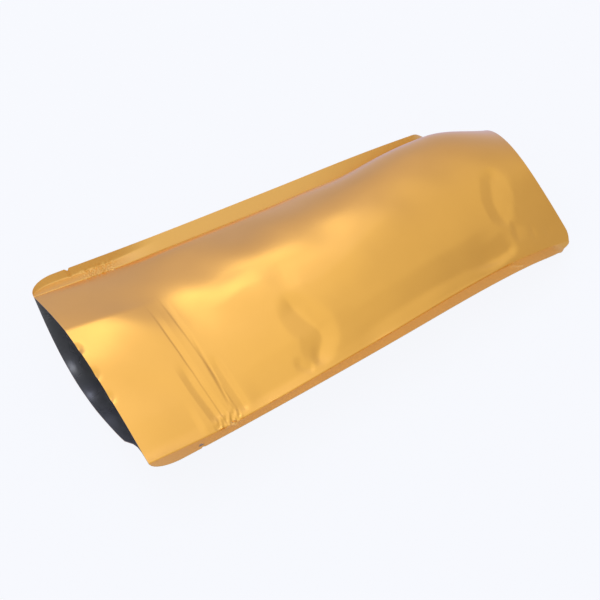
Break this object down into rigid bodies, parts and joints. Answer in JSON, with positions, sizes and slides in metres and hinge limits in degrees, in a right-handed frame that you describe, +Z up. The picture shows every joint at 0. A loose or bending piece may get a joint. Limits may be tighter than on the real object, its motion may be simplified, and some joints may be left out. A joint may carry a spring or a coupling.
{
  "type": "stand-up pouch",
  "caption": "Plain gold film stand-up pouch with a press-to-close zip, tear notches and side seals, lying on its back with its mouth open and its gusset bottom spread.",
  "frame": {"origin": "on the surface the pouch lies on, under the middle of its box", "axes": "+X from the open mouth to the gusset bottom, +Y from the near side seal to the far one, +Z up through the front panel"},
  "size_m": [0.2522, 0.1246, 0.0397],
  "materials": {
    "gold_film": "satin gold metallised plastic film",
    "zip_plastic": "milky plastic",
    "inner_lining": "dark grey sealing layer inside the film"
  },
  "bodies": {
    "root": {"pouch": "gold_film", "zip_front": "zip_plastic", "zip_back": "zip_plastic"}
  },
  "joints": []
}
